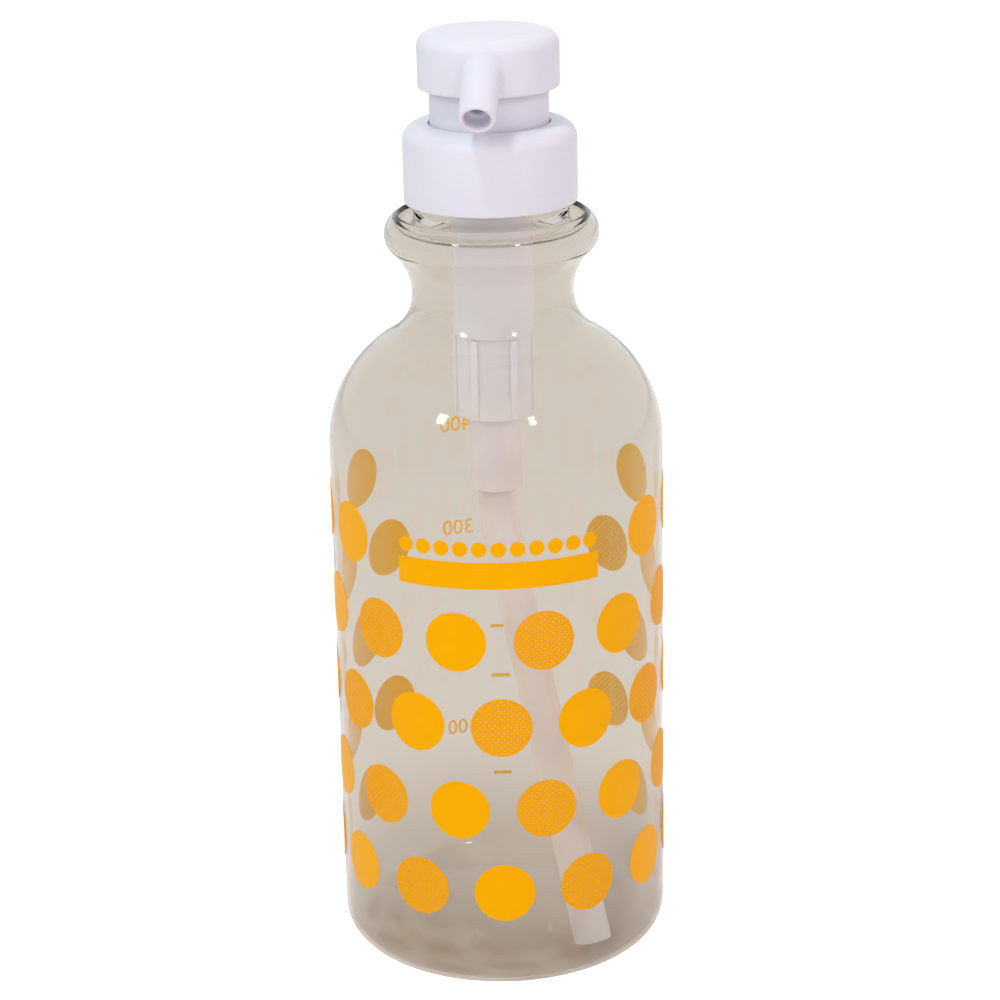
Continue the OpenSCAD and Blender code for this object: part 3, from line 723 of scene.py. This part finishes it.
def spoutRun(s, r, extra, narrow=1):
    # a round bar from the axis to the bend and down to the outlet
    bm = bmesh.new()
    drop = radians(s["drop"])
    turn = Matrix.Rotation(radians(90), 4, "X")
    start = bmesh.ops.create_circle(bm, cap_ends=True, radius=r, segments=64,
                                    matrix=Matrix.Translation((0, 0, s["channelZ"])) @ turn)["verts"]
    face = list(start[0].link_faces)[0]
    corner = s["bendR"] * sin(drop) / (1 + cos(drop))  # from the bend's corner to where it starts
    level = s["bend"] - corner
    made = bmesh.ops.extrude_face_region(bm, geom=[face], use_keep_orig=True)["geom"]
    verts = ofKind(made, BMVert)
    bmesh.ops.translate(bm, vec=(0, -level, 0), verts=verts)
    made = ofKind(made, BMFace)
    made = bmesh.ops.spin(bm, geom=made + list(made[0].edges) + verts, axis=(1, 0, 0),
                          cent=(0, -level, s["channelZ"] - s["bendR"]), dvec=(0, 0, 0), angle=drop,
                          steps=10, use_merge=False, use_duplicate=False)["geom_last"]
    face = ofKind(made, BMFace)[0]
    along = (s["reach"] - s["bend"]) / cos(drop) - corner + extra
    verts = ofKind(bmesh.ops.extrude_face_region(bm, geom=[face])["geom"], BMVert)
    bmesh.ops.translate(bm, vec=(0, -along * cos(drop), -along * sin(drop)), verts=verts)
    end = sum((v.co for v in verts), Vector()) / len(verts)
    bmesh.ops.scale(bm, vec=(narrow, narrow, narrow), space=Matrix.Translation(-end), verts=verts)
    bmesh.ops.delete(bm, geom=[face], context="FACES_ONLY")
    bmesh.ops.remove_doubles(bm, verts=bm.verts[:], dist=0.0005)
    bmesh.ops.recalc_face_normals(bm, faces=bm.faces[:])
    return bm


def makeHead(s):
    cap = tracePath((0, s["top"]), [
        ("to", s["r"] - s["edgeR"], s["top"]),
        ("arc", s["r"] - s["edgeR"], s["top"] - s["edgeR"], -90),
        ("to", s["r"], s["bottom"]),
        ("to", s["r"] - s["wall"], s["bottom"]),
        ("to", s["r"] - s["wall"], s["top"] - s["wall"] - s["inEdgeR"]),
        ("arc", s["r"] - s["wall"] - s["inEdgeR"], s["top"] - s["wall"] - s["inEdgeR"], 90),
        ("to", s["bossR"], s["top"] - s["wall"]),
        ("to", s["bossR"], s["bossZ"]),
        ("to", s["stemR"], s["bossZ"]),
        ("to", s["stemR"], s["stemTop"]),
        ("to", s["seatR"], s["stemTop"]),
        ("to", s["seatR"], s["channelZ"]),
        ("to", 0, s["channelZ"])])
    spinRound(cap)
    head = meshObject(cap, "headCap")
    bar = meshObject(spoutRun(s, s["spoutRootR"], 0, s["spoutR"] / s["spoutRootR"]), "spoutBar")
    hollow = bmesh.new()  # keeps the bar out of the cap's hollow
    bmesh.ops.create_cone(hollow, cap_ends=True, segments=96, radius1=s["r"] - s["wall"],
                          radius2=s["r"] - s["wall"], depth=s["hollowDepth"],
                          matrix=Matrix.Translation((0, 0, s["bossZ"] + s["hollowDepth"] / 2)))
    hollow = meshObject(hollow, "hollow")
    lid = bmesh.new()  # keeps the bar below the cap's top
    bmesh.ops.create_cube(lid, size=1, matrix=Matrix.Translation((0, 0, s["top"] + s["lidRise"]))
                          @ Matrix.Diagonal((80, 80, s["lidThick"], 1)))
    lid = meshObject(lid, "lid")
    channel = meshObject(spoutRun(s, s["channelR"], s["channelOver"]), "channel")
    outlet = bmesh.new()
    run = (s["reach"] - s["bend"]) / cos(radians(s["drop"]))
    bmesh.ops.create_cone(outlet, cap_ends=True, segments=64, radius1=s["outletR"],
                          radius2=s["outletR"], depth=2 * s["outletDepth"],
                          matrix=Matrix.Translation((0, -s["bend"], s["channelZ"]))
                          @ Matrix.Rotation(radians(90 + s["drop"]), 4, "X")
                          @ Matrix.Translation((0, 0, run)))
    outlet = meshObject(outlet, "outlet")
    for target, tool, operation in [(bar, hollow, "DIFFERENCE"), (bar, lid, "DIFFERENCE"),
                                    (head, bar, "UNION"), (head, channel, "DIFFERENCE"),
                                    (head, outlet, "DIFFERENCE")]:
        cut = target.modifiers.new(tool.name, "BOOLEAN")
        cut.object = tool
        cut.operation = operation
        cut.solver = "EXACT"
    remesh = head.modifiers.new("moulded", "REMESH")
    remesh.mode = "VOXEL"
    remesh.voxel_size = s["grain"]
    view = bpy.context.evaluated_depsgraph_get()
    mesh = bpy.data.meshes.new_from_object(head.evaluated_get(view))
    for tool in (outlet, channel, lid, hollow, bar, head):
        bpy.data.objects.remove(tool)
    bm = bmesh.new()
    bm.from_mesh(mesh)
    bpy.data.meshes.remove(mesh)
    for i in range(s["smoothTimes"]):
        bmesh.ops.smooth_vert(bm, verts=bm.verts[:], factor=0.5, use_axis_x=True, use_axis_y=True,
                              use_axis_z=True)
    bmesh.ops.rotate(bm, cent=(0, 0, 0), matrix=Matrix.Rotation(radians(-s["turn"]), 3, "Z"),
                     verts=bm.verts[:])
    bmesh.ops.recalc_face_normals(bm, faces=bm.faces[:])
    print("head has", len(bm.faces), "faces")
    finishPiece(bm, "pumpHead", "head", white, ["head"], s["crease"])


makeHead(headSizes)
print("head made")


# Floor, light and camera

# behindHex is the paper's colour for rays through the clear wall, a painted shade
stageSizes = {"floor": 4, "floorZ": -0.0001, "floorHex": "#F4F2EF", "behindHex": "#D1CCC3",
              "floorLift": 0.5, "floorShare": 0.1, "worldLevel": 0.57, "worldShare": 0.6}
cameraSizes = {"focal": 2937, "photoWidth": 1000, "sensor": 36, "at": (0, -0.6228, 0.3139),
               "pitch": 18.66, "yaw": 0.06, "roll": -1.15}


def seenByEye(tree, path, softShare):
    # 1 for what the camera sees, and a share of it in gloss and through clear walls
    either = addNode(tree, "ShaderNodeMath", {"operation": "MAXIMUM"},
                     {0: path.outputs["Is Glossy Ray"], 1: path.outputs["Is Transmission Ray"]})
    soft = addNode(tree, "ShaderNodeMath", {"operation": "MULTIPLY", 1: softShare}, {0: either.outputs[0]})
    seen = addNode(tree, "ShaderNodeMath", {"operation": "MAXIMUM"},
                   {0: path.outputs["Is Camera Ray"], 1: soft.outputs[0]})
    return seen.outputs[0]


def makeStage(s):
    bm = bmesh.new()
    bmesh.ops.create_grid(bm, x_segments=1, y_segments=1, size=s["floor"] / 2,
                          matrix=Matrix.Translation((0, 0, s["floorZ"])))
    floor = meshObject(bm, "paperFloor")
    # matt white paper; seen through the clear wall it takes a darker, warmer colour, which is painted shade
    material, tree = startMaterial("matPaper")
    path = addNode(tree, "ShaderNodeLightPath")
    tint = addNode(tree, "ShaderNodeMix", {"data_type": "RGBA", 6: linearColour(s["floorHex"]),
                                           7: linearColour(s["behindHex"])},
                   {"Factor": path.outputs["Is Transmission Ray"]})
    paper = addNode(tree, "ShaderNodeBsdfDiffuse", None, {"Color": tint.outputs[2]})
    lift = addNode(tree, "ShaderNodeMath", {"operation": "MULTIPLY", 1: s["floorLift"]},
                   {0: seenByEye(tree, path, s["floorShare"])})
    glow = addNode(tree, "ShaderNodeEmission", {"Color": (1, 1, 1, 1)}, {"Strength": lift.outputs[0]})
    finishWith(tree, addNode(tree, "ShaderNodeAddShader", None,
                             {0: paper.outputs[0], 1: glow.outputs[0]}))
    floor.data.materials.append(material)


def makeWorld(s):
    world = bpy.data.worlds.new("studio")
    bpy.context.scene.world = world
    world.use_nodes = True
    tree = world.node_tree
    tree.nodes.clear()
    lit = addNode(tree, "ShaderNodeBackground", {"Color": (1, 1, 1, 1), "Strength": s["worldLevel"]})
    shown = addNode(tree, "ShaderNodeBackground", {"Color": (1, 1, 1, 1), "Strength": 1})
    seen = seenByEye(tree, addNode(tree, "ShaderNodeLightPath"), s["worldShare"])
    both = addNode(tree, "ShaderNodeMixShader", None, {0: seen, 1: lit.outputs[0], 2: shown.outputs[0]})
    addNode(tree, "ShaderNodeOutputWorld", None, {"Surface": both.outputs[0]})


lamps = {"key": {"at": (-0.6, -0.85, 0.9), "size": (0.9, 0.9), "power": 2.4, "hex": "#EEF4FF"},
         "fill": {"at": (0.75, -0.7, 0.7), "size": (0.8, 0.8), "power": 2.8, "hex": "#FFDCE6"},
         "back": {"at": (0.3, 0.95, 0.8), "size": (0.9, 0.9), "power": 3, "hex": "#FFFFFF"},
         "above": {"at": (-0.38, -0.4, 1.5), "size": (0.12, 0.12), "power": 5.8, "hex": "#FFFFFF"},
         "windowLeft": {"at": (-0.75, -0.75, 0.95), "size": (0.14, 0.2), "power": 1.8, "hex": "#FFFFFF"},
         "windowRight": {"at": (0.5, -0.85, 0.9), "size": (0.09, 0.16), "power": 1, "hex": "#FFFFFF"}}
windows = ("windowLeft", "windowRight")  # the lamps that show in gloss


def makeLamp(name, s, inGloss, target=(0, 0, 0.11)):
    light = bpy.data.lights.new(name, "AREA")
    light.shape = "RECTANGLE"
    light.size, light.size_y = s["size"]
    light.energy = s["power"]
    light.color = linearColour(s["hex"])[:3]
    lamp = addObject(name, light)
    lamp.visible_glossy = inGloss
    lamp.visible_transmission = inGloss
    lamp.location = s["at"]
    lamp.rotation_euler = (Vector(target) - Vector(s["at"])).to_track_quat("-Z", "Y").to_euler()


def makeCamera(s):
    data = bpy.data.cameras.new("camera")
    data.sensor_width = s["sensor"]
    data.lens = s["focal"] * s["sensor"] / s["photoWidth"]
    data.clip_start = 0.01
    camera = addObject("camera", data)
    yaw, pitch, roll = radians(s["yaw"]), radians(s["pitch"]), radians(s["roll"])
    forward = Vector((sin(yaw) * cos(pitch), cos(yaw) * cos(pitch), -sin(pitch)))
    side = Vector((cos(yaw), -sin(yaw), 0))
    up = side.cross(forward)
    right = side * cos(roll) + up * sin(roll)
    top = up * cos(roll) - side * sin(roll)
    turn = Matrix((right, top, -forward)).transposed()
    camera.matrix_world = Matrix.Translation(s["at"]) @ turn.to_4x4()
    bpy.context.scene.camera = camera


makeStage(stageSizes)
makeWorld(stageSizes)
for name, sizes in lamps.items():
    makeLamp(name, sizes, name in windows)
makeCamera(cameraSizes)
bpy.context.scene.view_settings.view_transform = "Standard"
print("stage, light and camera set")
